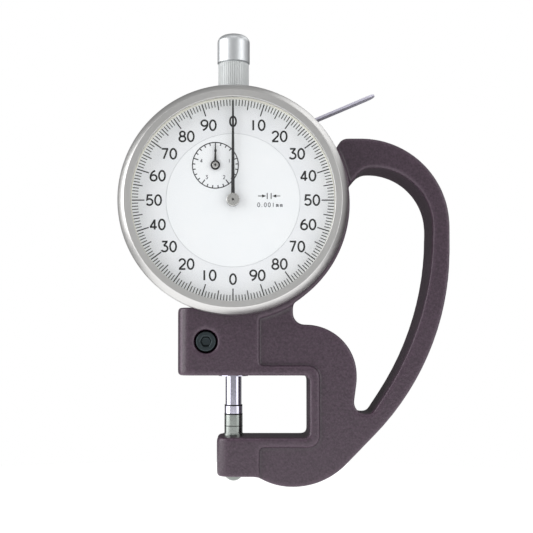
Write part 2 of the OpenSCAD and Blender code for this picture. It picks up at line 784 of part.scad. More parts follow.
module spindle() {
    rack_z = dial_z + rack_at[1];
    tip = rack_line + 0.9 * gear_m;
    root = rack_line - 1.25 * gear_m;
    teeth_below = ceil(rack_below / rack_pitch);
    teeth_above = ceil(rack_above / rack_pitch);
    color("gainsboro") difference() {
        upright(spindle_r, holder_top, spindle_top);
        upright(holder_shank_r + seat_gap, holder_top - 1, holder_top + holder_shank_l + free_gap);
        translate([0, 0, guide_z]) rotate([-90, 0, 0]) cylinder(r = guide_pin_r + seat_gap, h = 5);
        translate([tip, -5, rack_z - rack_below]) cube([5, 10, rack_below + rack_above]);
        for (k = [-teeth_below:teeth_above])
            translate([0, 5, rack_z + k * rack_pitch]) rotate([90, 0, 0]) linear_extrude(10)
                polygon([
                    [root, -0.23 * rack_pitch], [rack_line, -0.3 * rack_pitch],
                    [tip + 0.1, -0.42 * rack_pitch], [tip + 0.1, 0.42 * rack_pitch],
                    [rack_line, 0.3 * rack_pitch], [root, 0.23 * rack_pitch]]);
    }
}

module contact_holder() {
    groove = 0.2;
    color("silver") union() {
        upright(holder_r - 0.35, tip_l, tip_l + groove + 0.1);
        upright(holder_r, tip_l + groove, holder_top);
        upright(holder_shank_r, holder_top - 0.5, holder_top + holder_shank_l);
    }
}

module contact_tip() {
    color("lightgray") upright(face_d / 2, 0, tip_l);
}

module lift_collar() {
    color("silver") upright_tube(collar_r, collar_bore, collar_z, collar_z + collar_h);
}

module guide_pin() {
    color("silver") translate([0, 0.2, guide_z]) rotate([-90, 0, 0])
        cylinder(r = guide_pin_r, h = -guide_pin_back - 0.2);
}

module guide_post() {
    slot_half = guide_pin_r + run_gap;
    foot = dial_z - boss_in;
    color("goldenrod") difference() {
        facing([-post_w / 2, foot], post_front - post_t) cube([post_w, post_top - foot, post_t]);
        facing([-slot_half, guide_z - 1.6], post_front - post_t - 1)
            cube([2 * slot_half, travel + 3.2, post_t + 2]);
    }
}

// Coil spring as a tube swept along a helix
module return_spring() {
    sides = 6;
    steps = 16;
    n = spring_turns * steps;
    rise = (spring_high - spring_low) / n;
    ring = function (k) [for (j = [0:sides - 1])
        let (a = 360 * k / steps, b = 360 * j / sides, r = spring_r + spring_wire_r * cos(b))
        [r * cos(a), r * sin(a), spring_low + k * rise + spring_wire_r * sin(b)]];
    points = [for (k = [0:n]) each ring(k)];
    walls = [for (k = [0:n - 1], j = [0:sides - 1])
        let (i = (j + 1) % sides)
        [k * sides + j, (k + 1) * sides + j, (k + 1) * sides + i, k * sides + i]];
    ends = [[for (j = [0:sides - 1]) j], [for (j = [0:sides - 1]) n * sides + sides - 1 - j]];
    color("silver") polyhedron(points, concat(walls, ends));
}

// Plain arbor between two depths
module arbor(at, back, front) {
    on_dial(at, back) cylinder(r = arbor_r, h = front - back);
}

module rack_arbor() {
    color("silver") arbor(rack_at, -rack_half_w - 0.4, front_front);
}

// Pinion that runs on the spindle's rack
module rack_pinion() {
    p = 360 / rack_teeth;
    root = rack_r - 1.25 * gear_m;
    tip = rack_r + 0.9 * gear_m;
    color("gold") on_dial(rack_at, -rack_half_w) linear_extrude(2 * rack_half_w) difference() {
        polygon([for (k = [0:rack_teeth - 1])
            let (a = phase_rack + k * p)
            each [polar(root, a - 0.27 * p), polar(rack_r, a - 0.2 * p), polar(tip, a - 0.09 * p),
                polar(tip, a + 0.09 * p), polar(rack_r, a + 0.2 * p), polar(root, a + 0.27 * p)]]);
        circle(gear_bore, $fn = 12);
    }
}

// Toothed sector that multiplies the rack pinion's turn
module sector_gear() {
    p = 360 / sector_teeth;
    sweep = travel / (rack_teeth * rack_pitch) * 360;
    spare = 3;
    last = ceil(sweep / p) + spare;
    hub = 1.8;
    color("gold") on_dial(rack_at, sector_f) linear_extrude(gear_t) difference() {
        union() {
            polygon(concat([[0, 0]],
                [for (k = [-spare:last]) each tooth(sector_teeth, phase_sector + k * p)]));
            circle(hub, $fn = 12);
        }
        circle(gear_bore, $fn = 12);
        rotate(phase_sector + (last - spare) * p / 2) polygon([polar(4, -16), polar(7.8, -17), polar(8.2, 0),
            polar(7.8, 17), polar(4, 16)]);
    }
}

module second_arbor() {
    color("silver") arbor(second_at, sector_f - 0.2, front_front);
}

module second_pinion() {
    color("gold") on_dial(second_at, sector_f) toothed_wheel(small_teeth, phase_second_pinion, gear_t);
}

module second_wheel() {
    color("gold") on_dial(second_at, wheel_f) toothed_wheel(second_teeth, phase_second_wheel, gear_t, 4);
}

module counter_drive() {
    color("gold") on_dial(second_at, counter_f) toothed_wheel(counter_teeth, phase_counter_drive, gear_t);
}

module centre_arbor() {
    color("silver") arbor(centre_at, rear_back, hub_front + 0.15);
}

module centre_pinion() {
    color("gold") on_dial(centre_at, wheel_f - 0.2) toothed_wheel(small_teeth, phase_centre, gear_t + 0.4);
}

// Long hand with its hub, pointing at zero
module main_hand() {
    bore = arbor_r + seat_gap;
    color("#202020") on_dial(centre_at) difference() {
        union() {
            translate([0, 0, hub_f]) cylinder(r = hub_r, h = hub_front - hub_f);
            translate([0, 0, hand_f]) linear_extrude(hand_t) polygon([
                [-hand_root_w / 2, 0], [hand_root_w / 2, 0],
                [hand_tip_w / 2, hand_l], [-hand_tip_w / 2, hand_l]]);
        }
        translate([0, 0, hub_f - 1]) cylinder(r = bore, h = 4);
    }
}

module counter_arbor() {
    color("silver") arbor(counter_at, rear_back, small_hand_f + hand_t + 0.2);
}

module counter_wheel() {
    color("gold") on_dial(counter_at, counter_f) toothed_wheel(counter_teeth, phase_counter, gear_t);
}

module counter_hand() {
    color("#202020") on_dial(counter_at, small_hand_f) linear_extrude(hand_t) difference() {
        union() {
            circle(small_hub_r);
            polygon([[-0.35, 0], [0.35, 0], [0.12, small_hand_l], [-0.12, small_hand_l]]);
        }
        circle(arbor_r + seat_gap);
    }
}

// Arbor with the collet that holds the inner end of the hairspring
module take_up_arbor() {
    color("silver") {
        arbor(take_up_at, rear_back, front_front);
        on_dial(take_up_at, hair_f) cylinder(r = hair_in - run_gap, h = hair_h);
    }
}

module take_up_wheel() {
    color("gold") on_dial(take_up_at, wheel_f) toothed_wheel(second_teeth, phase_take_up, gear_t, 4);
}

// Flat spiral that takes up the backlash of the train
module hairspring() {
    steps = 24;
    n = hair_turns * steps;
    spiral = function (k, off) polar(hair_in + hair_pitch * k / steps + off, 360 * k / steps);
    color("steelblue") on_dial(take_up_at, hair_f) linear_extrude(hair_h) polygon(concat(
        [for (k = [0:n]) spiral(k, hair_w)], [for (k = [n:-1:0]) spiral(k, 0)]));
}

// Post on the front plate that holds the outer end of the hairspring
module hairspring_stud() {
    r = 0.5;
    color("gold") on_dial(take_up_at + [hair_end + hair_w + r, 0], hair_f)
        cylinder(r = r, h = front_back - hair_f);
}

// Strip lever with a rounded thumb end and a finger under the lift collar
module lift_lever() {
    color("silver") on_dial(pivot_at, lever_f - lever_w) difference() {
        union() {
            cylinder(r = lever_hub_r, h = lever_w);
            rotate(lever_slope) linear_extrude(lever_w)
                translate([-finger_l, -lever_t / 2]) square([finger_l + lever_l - lever_w / 2, lever_t]);
            rotate(lever_slope) translate([lever_l - lever_w / 2, lever_t / 2, lever_w / 2])
                rotate([90, 0, 0]) cylinder(r = lever_w / 2, h = lever_t);
        }
        translate([0, 0, -1]) cylinder(r = lever_pin_r + run_gap, h = lever_w + 2);
    }
}

module lever_pin() {
    color("silver") on_dial(pivot_at, ear_rear - ear_t)
        cylinder(r = lever_pin_r, h = ear_front - ear_rear + ear_t);
}

frame();
anvil();
anvil_tip();
anvil_screw();
clamp_screw();
case();
stem();
stem_bushes();
upper_sleeve();
dust_cap();
back_cover();
cover_screws();
bezel();
crystal();
spacer_ring();
scale_ring();
snap_ring();
inner_dial();
front_plate();
rear_plate();
pillars();
pillar_screws();
plate_screws();
jewel_bearings();
spindle();
contact_holder();
contact_tip();
lift_collar();
guide_pin();
guide_post();
return_spring();
rack_arbor();
rack_pinion();
sector_gear();
second_arbor();
second_pinion();
second_wheel();
counter_drive();
centre_arbor();
centre_pinion();
main_hand();
counter_arbor();
counter_wheel();
counter_hand();
take_up_arbor();
take_up_wheel();
hairspring();
hairspring_stud();
lift_lever();
lever_pin();
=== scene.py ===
# Looks of the dial thickness gauge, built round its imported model. Lengths are in millimetres
# until a piece is made, and depths are measured forward of the spindle axis, towards the reader.
import json
import math

import bmesh
import bpy
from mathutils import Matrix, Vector


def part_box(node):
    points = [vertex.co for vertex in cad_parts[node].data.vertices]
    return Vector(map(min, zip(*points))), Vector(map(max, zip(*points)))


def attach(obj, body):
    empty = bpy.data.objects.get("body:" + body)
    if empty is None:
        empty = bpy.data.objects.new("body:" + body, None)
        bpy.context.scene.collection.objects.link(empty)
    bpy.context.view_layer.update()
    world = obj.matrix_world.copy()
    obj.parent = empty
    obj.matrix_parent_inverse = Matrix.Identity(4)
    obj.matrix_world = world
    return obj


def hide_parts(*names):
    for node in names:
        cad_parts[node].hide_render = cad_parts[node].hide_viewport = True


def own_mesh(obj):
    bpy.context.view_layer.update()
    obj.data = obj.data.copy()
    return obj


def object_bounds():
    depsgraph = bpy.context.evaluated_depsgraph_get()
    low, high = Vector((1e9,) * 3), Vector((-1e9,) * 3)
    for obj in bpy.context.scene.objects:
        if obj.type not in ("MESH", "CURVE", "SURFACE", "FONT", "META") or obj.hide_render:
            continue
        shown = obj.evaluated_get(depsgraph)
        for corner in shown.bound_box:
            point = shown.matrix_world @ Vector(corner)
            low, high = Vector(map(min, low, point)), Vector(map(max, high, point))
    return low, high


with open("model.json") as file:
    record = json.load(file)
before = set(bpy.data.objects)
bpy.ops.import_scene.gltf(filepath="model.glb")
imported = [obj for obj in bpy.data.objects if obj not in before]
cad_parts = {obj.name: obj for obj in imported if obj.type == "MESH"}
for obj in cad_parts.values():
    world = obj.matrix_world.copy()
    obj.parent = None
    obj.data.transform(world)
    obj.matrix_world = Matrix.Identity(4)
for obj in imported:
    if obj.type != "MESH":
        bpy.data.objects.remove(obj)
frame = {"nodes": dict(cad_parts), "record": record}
nodes = frame["nodes"]
cad_box = [list(corner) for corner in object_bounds()]
scene = bpy.context.scene

MM = 0.001
TURN = 2 * math.pi
ORIGIN = (0, 0, 0)


def box_mm(node):
    low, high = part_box(node)
    return low / MM, high / MM


def radius_mm(node):
    """Radius of a node's widest round part, from its width"""
    low, high = box_mm(node)
    return (high.x - low.x) / 2


# Places taken from the model
bezel_low, bezel_high = box_mm("bezel")
counter_low, counter_high = box_mm("counter_arbor")
DIAL_Z = (bezel_low.z + bezel_high.z) / 2
BEZEL_R = radius_mm("bezel")
BEZEL_FRONT = -bezel_low.y
BEZEL_BACK = -bezel_high.y
SCALE_R = radius_mm("scale_ring")
DIAL_FACE = -box_mm("scale_ring")[0].y
INNER_R = radius_mm("inner_dial")
CASE_R = radius_mm("back_cover")
COUNTER_X = (counter_low.x + counter_high.x) / 2
COUNTER_Z = (counter_low.z + counter_high.z) / 2 - DIAL_Z
DIAL_AT = (0, -DIAL_FACE, DIAL_Z)


# Material helpers
NOISE_LOW = 0.3
NOISE_HIGH = 0.7
FLAT_POINTINESS = 0.5


def new_material(name, colour, metallic, roughness, **sockets):
    material = bpy.data.materials.new(name)
    material.use_nodes = True
    shader = shader_of(material)
    shader.inputs["Base Color"].default_value = (*colour, 1)
    shader.inputs["Metallic"].default_value = metallic
    shader.inputs["Roughness"].default_value = roughness
    for socket, value in sockets.items():
        shader.inputs[socket.replace("_", " ")].default_value = value
    return material


def shader_of(material):
    return material.node_tree.nodes["Principled BSDF"]


def texture(material, kind, scale, stretch=(1, 1, 1), **settings):
    tree = material.node_tree
    place = tree.nodes.new("ShaderNodeTexCoord")
    mapping = tree.nodes.new("ShaderNodeMapping")
    mapping.inputs["Scale"].default_value = stretch
    node = tree.nodes.new(kind)
    node.inputs["Scale"].default_value = scale
    for socket, value in settings.items():
        node.inputs[socket].default_value = value
    tree.links.new(place.outputs["Object"], mapping.inputs["Vector"])
    tree.links.new(mapping.outputs["Vector"], node.inputs["Vector"])
    return node.outputs[0]


def noise(material, scale, stretch=(1, 1, 1), **settings):
    return texture(material, "ShaderNodeTexNoise", scale, stretch, **settings)


def vary(material, socket, factor, low, high):
    """Spreads the range in which a noise mostly stays over low to high"""
    tree = material.node_tree
    spread = tree.nodes.new("ShaderNodeMapRange")
    spread.inputs["From Min"].default_value = NOISE_LOW
    spread.inputs["From Max"].default_value = NOISE_HIGH
    spread.inputs["To Min"].default_value = low
    spread.inputs["To Max"].default_value = high
    tree.links.new(factor, spread.inputs["Value"])
    tree.links.new(spread.outputs["Result"], shader_of(material).inputs[socket])


def vary_colour(material, factor, stops):
    tree = material.node_tree
    ramp = tree.nodes.new("ShaderNodeValToRGB")
    for stop, (place, colour) in zip(ramp.color_ramp.elements, stops):
        stop.position = place
        stop.color = (*colour, 1)
    tree.links.new(factor, ramp.inputs["Fac"])
    tree.links.new(ramp.outputs["Color"], shader_of(material).inputs["Base Color"])


def bump(material, factor, strength, depth):
    """Adds relief on top of any relief that the material has already"""
    tree = material.node_tree
    node = tree.nodes.new("ShaderNodeBump")
    node.inputs["Strength"].default_value = strength
    node.inputs["Distance"].default_value = depth * MM
    shader = shader_of(material)
    if shader.inputs["Normal"].is_linked:
        tree.links.new(shader.inputs["Normal"].links[0].from_socket, node.inputs["Normal"])
    tree.links.new(factor, node.inputs["Height"])
    tree.links.new(node.outputs["Normal"], shader.inputs["Normal"])


def edge_tone(material, spread, dark, pale):
    """Paints shade into hollow corners by darkening the colour there, and paints a highlight on edges by
    paling it
    """
    tree = material.node_tree
    shape = tree.nodes.new("ShaderNodeNewGeometry")
    tone = tree.nodes.new("ShaderNodeMapRange")
    tone.inputs["From Min"].default_value = FLAT_POINTINESS - spread
    tone.inputs["From Max"].default_value = FLAT_POINTINESS + spread
    tone.inputs["To Min"].default_value = dark
    tone.inputs["To Max"].default_value = pale
    scale = tree.nodes.new("ShaderNodeVectorMath")
    scale.operation = "SCALE"
    base = shader_of(material).inputs["Base Color"]
    tree.links.new(base.links[0].from_socket, scale.inputs[0])
    tree.links.new(shape.outputs["Pointiness"], tone.inputs["Value"])
    tree.links.new(tone.outputs["Result"], scale.inputs["Scale"])
    tree.links.new(scale.outputs["Vector"], base)


def radial_tangent(material, axis):
    tree = material.node_tree
    tangent = tree.nodes.new("ShaderNodeTangent")
    tangent.direction_type = "RADIAL"
    tangent.axis = axis
    tree.links.new(tangent.outputs["Tangent"], shader_of(material).inputs["Tangent"])


# Kinds of material
def enamel():
    material = new_material("enamel", (0.07, 0.045, 0.06), 0, 0.36, Specular_IOR_Level=0.6)
    mottle = noise(material, 2000, Detail=4, Roughness=0.65)
    vary_colour(material, mottle, [(0.32, (0.03, 0.016, 0.027)), (0.7, (0.067, 0.039, 0.061))])
    # painted shade in the enamel's hollows and a painted highlight along its edges
    edge_tone(material, spread=0.04, dark=0.3, pale=1.7)
    vary(material, "Roughness", noise(material, 1400, Detail=2), 0.3, 0.42)
    bump(material, texture(material, "ShaderNodeTexVoronoi", 1100), strength=0.35, depth=0.12)
    bump(material, noise(material, 2600, Detail=3), strength=0.25, depth=0.05)
    return material


def turned_metal(name, colour, roughness, axis, anisotropy):
    material = new_material(name, colour, 1, roughness, Anisotropic=anisotropy)
    radial_tangent(material, axis)
    vary(material, "Roughness", noise(material, 2400, Detail=2), roughness - 0.05, roughness + 0.05)
    return material


def ground_metal(name, colour, roughness, stretch=(1, 1, 1), metallic=1):
    material = new_material(name, colour, metallic, roughness)
    grain = noise(material, 900, stretch, Detail=3)
    vary(material, "Roughness", grain, roughness - 0.04, roughness + 0.06)
    return material


def printed_white(name, colour, shade):
    material = new_material(name, colour, 0, 0.5, Specular_IOR_Level=0.2)
    cloud = noise(material, 160, Detail=2)
    vary_colour(material, cloud, [(NOISE_LOW, shade), (NOISE_HIGH, colour)])
    vary(material, "Roughness", noise(material, 1500), 0.45, 0.55)
    return material


def ink(name, colour):
    material = new_material(name, colour, 0, 0.5, Specular_IOR_Level=0.2)
    vary(material, "Roughness", noise(material, 2000), 0.42, 0.6)
    return material


def jewel():
    material = new_material("jewel", (0.45, 0.02, 0.06), 0, 0.1, Transmission_Weight=0.4)
    vary(material, "Roughness", noise(material, 900), 0.08, 0.14)
    return material


def clear_crystal():
    material = new_material("crystal", (1, 1, 1), 0, 0.03, Alpha=0.02, IOR=1.49)
    vary(material, "Roughness", noise(material, 300), 0.02, 0.05)
    return material


# Materials of the gauge
ENAMEL = enamel()
SATIN_BEZEL = turned_metal("satin_bezel", (0.68, 0.675, 0.665), 0.36, "Y", 0.6)
SATIN_CASE = turned_metal("satin_case", (0.7, 0.7, 0.69), 0.34, "Y", 0.4)
BRIGHT_CAP = turned_metal("bright_cap", (0.7, 0.72, 0.735), 0.4, "Z", 0.3)
KNURL = ground_metal("knurl_steel", (0.78, 0.8, 0.8), 0.48, stretch=(1, 1, 0.2), metallic=0.35)
TOOL_STEEL = turned_metal("tool_steel", (0.56, 0.545, 0.65), 0.12, "Z", 0.2)
CARBIDE = turned_metal("carbide", (0.26, 0.28, 0.265), 0.15, "Z", 0.3)
PLATED = ground_metal("plated_steel", (0.66, 0.66, 0.64), 0.25)
HUB_STEEL = turned_metal("hub_steel", (0.62, 0.62, 0.6), 0.3, "Y", 0.5)
BLACK_OXIDE = ground_metal("black_oxide", (0.048, 0.06, 0.065), 0.35)
CHROME = ground_metal("chrome_lever", (0.66, 0.64, 0.76), 0.42, stretch=(0.3, 1, 1), metallic=0.35)
SPRING = ground_metal("spring_steel", (0.4, 0.42, 0.45), 0.3)
BRASS = turned_metal("brass", (0.75, 0.58, 0.28), 0.3, "Y", 0.3)
SPACER = printed_white("spacer", (0.82, 0.81, 0.72), (0.76, 0.75, 0.66))
DIAL_WHITE = printed_white("dial_white", (0.83, 0.845, 0.865), (0.8, 0.82, 0.845))
INNER_WHITE = printed_white("inner_white", (0.87, 0.89, 0.905), (0.855, 0.88, 0.9))
SEAM = printed_white("seam", (0.62, 0.64, 0.66), (0.58, 0.6, 0.62))
HAND_BLACK = ink("hand_black", (0.006, 0.006, 0.007))
TICK_INK = ink("tick_ink", (0.016, 0.017, 0.02))
PALE_INK = ink("pale_ink", (0.12, 0.125, 0.14))
JEWEL = jewel()
CRYSTAL = clear_crystal()

SLOT_MATERIALS = {
    "enamel": ENAMEL, "satin_bezel": SATIN_BEZEL, "satin_case": SATIN_CASE, "tool_steel": TOOL_STEEL,
    "carbide": CARBIDE, "plated_steel": PLATED, "chrome_lever": CHROME, "spring_steel": SPRING,
    "brass": BRASS, "crystal": CRYSTAL, "spacer": SPACER, "dial_white": DIAL_WHITE,
    "hand_black": HAND_BLACK, "jewel": JEWEL,
}
NODE_MATERIALS = {
    "anvil": CARBIDE, "anvil_screw": CARBIDE, "inner_dial": INNER_WHITE, "dust_cap": BRIGHT_CAP,
}


# Finish of the model's own nodes
def dress_nodes():
    for part in frame["record"]["subparts"]:
        name = part["node"]
        finishes = nodes[name].data.materials
        finishes.clear()
        finishes.append(NODE_MATERIALS.get(name, SLOT_MATERIALS[part["material_slot"]]))


# Making pieces
MERGE_UNDER = 0.0005
SHARP_ANGLE = 32
SHARP_TOOTH_ANGLE = 25
TOOTH_COLUMNS = 4


def add_piece(name, mesh, at, body, material, replaced=()):
    piece = bpy.data.objects.new(name, mesh)
    piece.location = Vector(at) * MM
    scene.collection.objects.link(piece)
    mesh.materials.append(material)
    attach(piece, body)
    if replaced:
        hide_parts(*replaced)
    return piece


def finish_mesh(name, bm, sharp=SHARP_ANGLE):
    bmesh.ops.remove_doubles(bm, verts=bm.verts, dist=MERGE_UNDER * MM)
    bmesh.ops.recalc_face_normals(bm, faces=bm.faces)
    mesh = bpy.data.meshes.new(name)
    bm.to_mesh(mesh)
    bm.free()
    mesh.shade_smooth()
    mesh.set_sharp_from_angle(angle=math.radians(sharp))
    return mesh


def revolve(profile, columns, axis, radius_at=None):
    """Closed ring of a closed profile of (radius, height) round the Y or the Z axis"""
    bm = bmesh.new()
    rings = []
    for k in range(columns):
        a = TURN * k / columns
        ring = []
        for j, (r, h) in enumerate(profile):
            r = radius_at(j, k, r) if radius_at else r
            if axis == "Y":
                spot = (r * math.sin(a), -h, r * math.cos(a))
            else:
                spot = (r * math.cos(a), r * math.sin(a), h)
            ring.append(bm.verts.new(Vector(spot) * MM))
        rings.append(ring)
    count = len(profile)
    for k in range(columns):
        for j in range(count):
            here, there, up = rings[k], rings[(k + 1) % columns], (j + 1) % count
            bm.faces.new((here[j], there[j], there[up], here[up]))
    return bm


def serrated(name, profile, rows, teeth, depth, axis):
    """Ring whose profile is cut back in the given rows over the second half of each tooth"""
    def radius_at(j, k, r):
        in_gap = k % TOOTH_COLUMNS >= TOOTH_COLUMNS // 2
        return r - depth if j in rows and in_gap else r

    ring = revolve(profile, teeth * TOOTH_COLUMNS, axis, radius_at)
    return finish_mesh(name, ring, SHARP_TOOTH_ANGLE)


def arc(cx, cy, rx, ry, start, end, steps):
    """Points along an ellipse's arc, in degrees, counter-clockwise from the right"""
    angles = [math.radians(start + (end - start) * k / steps) for k in range(steps + 1)]
    return [(cx + rx * math.cos(a), cy + ry * math.sin(a)) for a in angles]


def ellipse(cx, cy, rx, ry, steps):
    return arc(cx, cy, rx, ry, 0, 360, steps)[:-1]


# Frame casting: the model's solid with its edges softened as a casting's are
CASTING_VOXEL = 0.26
CASTING_SMOOTHING = 0.5
CASTING_ROUNDS = 36


def frame_casting():
    piece = bpy.data.objects.new("frame_source", nodes["frame"].data.copy())
    scene.collection.objects.link(piece)
    remesh = piece.modifiers.new("remesh", "REMESH")
    remesh.mode = "VOXEL"
    remesh.voxel_size = CASTING_VOXEL * MM
    smooth = piece.modifiers.new("smooth", "SMOOTH")
    smooth.factor = CASTING_SMOOTHING
    smooth.iterations = CASTING_ROUNDS
    graph = bpy.context.evaluated_depsgraph_get()
    mesh = bpy.data.meshes.new_from_object(piece.evaluated_get(graph))
    bpy.data.objects.remove(piece)
    mesh.name = "frame_casting"
    mesh.materials.clear()
    mesh.shade_smooth()
    add_piece("frame_casting", mesh, ORIGIN, "frame", ENAMEL, ["frame"])


# Lever and clamp screw: the model's solids with their sharp edges softened
WELD_UNDER = 0.002
EDGE_SEGMENTS = 2
EDGE_ANGLE = 35
LEVER_EDGE = 0.12
SCREW_EDGE = 0.4


def softened(name, node, body, material, width, clamp):
    mesh = nodes[node].data.copy()
    mesh.materials.clear()
    piece = add_piece(name, mesh, ORIGIN, body, material, [node])
    weld = piece.modifiers.new("weld", "WELD")
    weld.merge_threshold = WELD_UNDER * MM
    edge = piece.modifiers.new("edge", "BEVEL")
    edge.width = width * MM
    edge.segments = EDGE_SEGMENTS
    edge.limit_method = "ANGLE"
    edge.angle_limit = math.radians(EDGE_ANGLE)
    edge.harden_normals = True
    edge.use_clamp_overlap = clamp


def lever_and_screw():
    softened("thumb_lever", "lift_lever", "lever", CHROME, LEVER_EDGE, clamp=True)
    softened("socket_screw", "clamp_screw", "frame", BLACK_OXIDE, SCREW_EDGE, clamp=False)


# Bezel with its serrated rim, a sloped shoulder and a lip over the crystal
RIM_TEETH = 360
RIM_TOOTH_DEPTH = 0.16
BACK_EDGE = 0.35
TEETH_BACK = 2.9
RIM_BACK = 2.5
CREST_IN = 1.9
LIP_T = 1.1
LIP_REACH = 0.52
LIP_EDGE = 0.1
BORE_PLAY = 0.01
# Rounding at the rim, as distances in from it and back from the front
RIM_ROUND = [(0.05, 2.25), (0.2, 1.95)]
# Rounding at the crest, as distances out from it and back from the front
CREST_ROUND = [(0.25, 0.2), (0.1, 0.06), (0, 0)]


def bezel_ring():
    crest = BEZEL_R - CREST_IN
    window = SCALE_R - LIP_REACH
    bore = SCALE_R + BORE_PLAY
    lip_back = BEZEL_FRONT - LIP_T
    rim = [(BEZEL_R - BACK_EDGE, BEZEL_BACK), (BEZEL_R, BEZEL_BACK + BACK_EDGE),
           (BEZEL_R, BEZEL_BACK + 2 * BACK_EDGE), (BEZEL_R, BEZEL_FRONT - TEETH_BACK),
           (BEZEL_R, BEZEL_FRONT - RIM_BACK)]
    teeth_rows = (2, 3)
    shoulder = [(BEZEL_R - inward, BEZEL_FRONT - back) for inward, back in RIM_ROUND]
    shoulder += [(crest + outward, BEZEL_FRONT - back) for outward, back in CREST_ROUND]
    lip = [(window + LIP_EDGE, BEZEL_FRONT - LIP_EDGE), (window, BEZEL_FRONT - 2 * LIP_EDGE),
           (window, lip_back), (bore, lip_back), (bore, BEZEL_BACK)]
    mesh = serrated("bezel_ring", rim + shoulder + lip, teeth_rows, RIM_TEETH, RIM_TOOTH_DEPTH, "Y")
    add_piece("bezel_ring", mesh, (0, 0, DIAL_Z), "bezel", SATIN_BEZEL, ["bezel"])


# Knurled sleeve over the spindle's top, from its shank in the case to its neck in the cap
KNURL_TEETH = 44
KNURL_DEPTH = 0.32
SLEEVE_BORE_R = 2.3
SHANK_IN = 1.3
NECK_IN = 0.9
SLEEVE_EDGE = 0.3
SEAT_EDGE = 0.25


def knurled_sleeve():
    low, high = box_mm("upper_sleeve")
    r = radius_mm("upper_sleeve")
    seat = DIAL_Z + CASE_R
    top = box_mm("dust_cap")[0].z
    shank = r - SHANK_IN
    neck = r - NECK_IN
    profile = [(SLEEVE_BORE_R, low.z), (shank, low.z), (shank, seat), (r - SLEEVE_EDGE, seat),
               (r, seat + SEAT_EDGE), (r, seat + 2 * SEAT_EDGE), (r, top - 2 * SLEEVE_EDGE),
               (r, top - SLEEVE_EDGE), (r - SLEEVE_EDGE, top), (neck, top), (neck, high.z),
               (SLEEVE_BORE_R, high.z)]
    knurl_rows = (5, 6)
    mesh = serrated("knurled_sleeve", profile, knurl_rows, KNURL_TEETH, KNURL_DEPTH, "Z")
    add_piece("knurled_sleeve", mesh, ORIGIN, "frame", KNURL, ["upper_sleeve"])


# Printing on the dial: strokes as thin raised ribbons
PRINT_T = 0.03
MITRE_LEAST = 0.5


def ribbon(bm, points, width, closed=False):
    """Flat stroke along points of the dial's plane, raised by the print's thickness"""
    count = len(points)
    rails = []
    for k in range(count):
        here = Vector(points[k])
        before = Vector(points[k - 1]) if closed or k > 0 else None
        after = Vector(points[(k + 1) % count]) if closed or k < count - 1 else None
        into = (here - before).normalized() if before else (after - here).normalized()
        out = (after - here).normalized() if after else into
        side = Vector((-into.y - out.y, into.x + out.x)).normalized()
        reach = width / 2 / max(MITRE_LEAST, side.dot(Vector((-into.y, into.x))))
        rails.append([here + side * reach, here - side * reach])
    rows = []
    for left, right in rails:
        spots = [(left, PRINT_T), (right, PRINT_T), (right, 0), (left, 0)]
        rows.append([bm.verts.new(Vector((p.x, -h, p.y)) * MM) for p, h in spots])
    for k in range(count if closed else count - 1):
        here, there = rows[k], rows[(k + 1) % count]
        for j in range(4):
            bm.faces.new((here[j], here[(j + 1) % 4], there[(j + 1) % 4], there[j]))
    if not closed:
        bm.faces.new(rows[0])
        bm.faces.new(rows[-1])


def print_piece(name, bm, body, material):
    add_piece(name, finish_mesh(name, bm), DIAL_AT, body, material)


def line(*points):
    """Open stroke of a sign"""
    return list(points), False


def loop(points):
    """Closed stroke of a sign"""
    return points, True


def half_turn(points):
    return [(SIGN_W - x, 1 - y) for x, y in points]


# Strokes of each sign, in a box of the sign's width and 1 high
SIGN_W = 0.6
POINT_W = 0.3
BOWL = ellipse(0.3, 0.3, 0.27, 0.28, 24)
HOOK = arc(0.52, 0.34, 0.49, 0.64, 182, 100, 12)
SIGNS = {
    "0": [loop(ellipse(0.3, 0.5, 0.26, 0.48, 28))],
    "1": [line((0.3, 0.02), (0.3, 0.98))],
    "2": [line(*arc(0.3, 0.7, 0.25, 0.28, 170, -38, 16), (0.06, 0.04)), line((0.02, 0.02), (0.57, 0.02))],
    "3": [line((0.06, 0.98), (0.55, 0.98)), line((0.5, 0.97), (0.22, 0.58)),
          line(*arc(0.27, 0.3, 0.28, 0.28, 100, -150, 18))],
    "4": [line((0.4, 0.02), (0.4, 0.98)), line((0.4, 0.95), (0.03, 0.26)), line((0.0, 0.25), (0.58, 0.25))],
    "5": [line((0.52, 0.98), (0.12, 0.98), (0.08, 0.54), *arc(0.28, 0.32, 0.27, 0.3, 125, -150, 18))],
    "6": [loop(BOWL), line(*HOOK)],
    "7": [line((0.03, 0.98), (0.58, 0.98)), line((0.53, 0.98), (0.2, 0.02))],
    "8": [loop(ellipse(0.3, 0.74, 0.21, 0.24, 22)), loop(ellipse(0.3, 0.26, 0.27, 0.25, 24))],
    "9": [loop(half_turn(BOWL)), line(*half_turn(HOOK))],
    ".": [line((0.12, 0), (0.12, 0.14))],
    "m": [line((0.08, 0), (0.08, 0.62)), line(*arc(0.2, 0.42, 0.12, 0.18, 180, 0, 8), (0.32, 0)),
          line(*arc(0.44, 0.42, 0.12, 0.18, 180, 0, 8), (0.56, 0))],
}
SIGN_GAP = 0.12


def write(bm, text, at, height, stroke, gap=SIGN_GAP, stretch=1):
    """Upright text centred on a place of the dial's plane"""
    widths = [(POINT_W if sign == "." else SIGN_W) + gap for sign in text]
    across = height * stretch
    pen = at[0] - (sum(widths) - gap) * across / 2
    for sign, width in zip(text, widths):
        for points, closed in SIGNS[sign]:
            placed = [(pen + x * across, at[1] + (y - 0.5) * height) for x, y in points]
            ribbon(bm, placed, stroke, closed)
        pen += width * across


def spoke(bm, centre, angle, inner, outer, width):
    """Radial stroke at a clockwise angle from the top"""
    u = Vector((math.sin(angle), math.cos(angle)))
    at = Vector(centre)
    ribbon(bm, [at + u * inner, at + u * outer], width)


